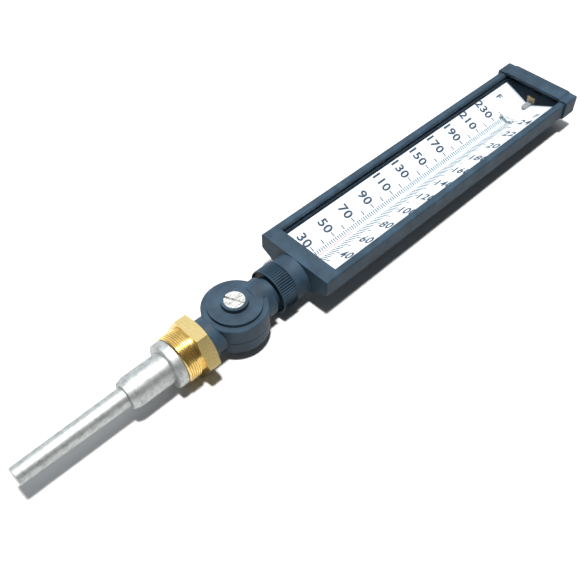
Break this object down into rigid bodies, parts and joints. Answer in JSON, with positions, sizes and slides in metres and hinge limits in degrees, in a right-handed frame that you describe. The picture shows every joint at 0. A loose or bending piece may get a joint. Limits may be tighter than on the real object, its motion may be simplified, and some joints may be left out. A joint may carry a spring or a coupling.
{
  "type": "adjustable-angle industrial thermometer",
  "caption": "Adjustable-angle liquid-in-glass thermometer: V-shaped case with a scale, swivel and tilt joint, union nut and sensing stem.",
  "frame": {"origin": "centre of the union thread's length, on the stem's axis", "axes": "+X from the stem's tip through the joint to the case's cap; +Z out of the scale towards the reader; +Y to the reader's left when the cap is up"},
  "size_m": [0.465, 0.0616, 0.0348],
  "materials": {
    "case_plastic": "fine-grained moulded dark slate plastic",
    "joint_plastic": "fine-grained moulded dark slate plastic, a little smoother",
    "window_clear": "clear flat sheet",
    "scale_white": "smooth white enamel",
    "tube_glass": "clear polished glass",
    "red_spirit": "clear red spirit",
    "clip_plastic": "natural white moulded plastic",
    "grey_plastic": "grey moulded plastic",
    "post_brass": "dull plain brass",
    "grommet_rubber": "matt black rubber",
    "capillary_copper": "drawn copper tube",
    "spring_steel": "plain spring steel",
    "washer_fibre": "pressed fibre",
    "stem_aluminium": "satin turned aluminium with fine lathe lines",
    "screw_nickel": "nickel-plated steel with a brushed face",
    "union_brass": "machined brass, cut threads"
  },
  "bodies": {
    "case": {"case_shell": "case_plastic", "end_cap": "case_plastic", "window": "window_clear", "scale_plate": "scale_white", "glass_tube": "tube_glass", "spirit_column": "red_spirit", "tube_clip": "clip_plastic", "plate_tongue": "grey_plastic", "plate_post": "post_brass", "tube_grommet": "grommet_rubber", "case_capillary": "capillary_copper"},
    "lock_nut": {"lock_nut": "case_plastic"},
    "swivel": {"upper_joint": "joint_plastic", "snap_ring": "spring_steel", "swivel_washer": "washer_fibre", "joint_capillary": "capillary_copper"},
    "stem": {"lower_joint": "joint_plastic", "stem": "stem_aluminium", "sensing_bulb": "capillary_copper", "stem_capillary": "capillary_copper", "friction_washer": "washer_fibre", "spring_washer": "spring_steel", "pivot_nut": "spring_steel"},
    "pivot_screw": {"pivot_screw": "screw_nickel"},
    "union_nut": {"union_nut": "union_brass"}
  },
  "joints": [
    {"name": "case_swivel", "type": "hinge", "parent": "case", "child": "swivel", "pos_m": [0.08, 0, 0], "axis": [1, 0, 0], "range_deg": [-180, 180]},
    {"name": "stem_tilt", "type": "hinge", "parent": "swivel", "child": "stem", "pos_m": [0.0436, 0, 0], "axis": [0, 0, 1], "range_deg": [-90, 90]},
    {"name": "lock_nut_turn", "type": "hinge", "parent": "case", "child": "lock_nut", "pos_m": [0.076, 0, 0], "axis": [1, 0, 0], "range_deg": [-180, 0]},
    {"name": "pivot_screw_turn", "type": "hinge", "parent": "swivel", "child": "pivot_screw", "pos_m": [0.0436, 0, 0], "axis": [0, 0, 1], "range_deg": [0, 360]},
    {"name": "union_nut_spin", "type": "hinge", "parent": "stem", "child": "union_nut", "pos_m": [0, 0, 0], "axis": [1, 0, 0], "continuous": true}
  ]
}
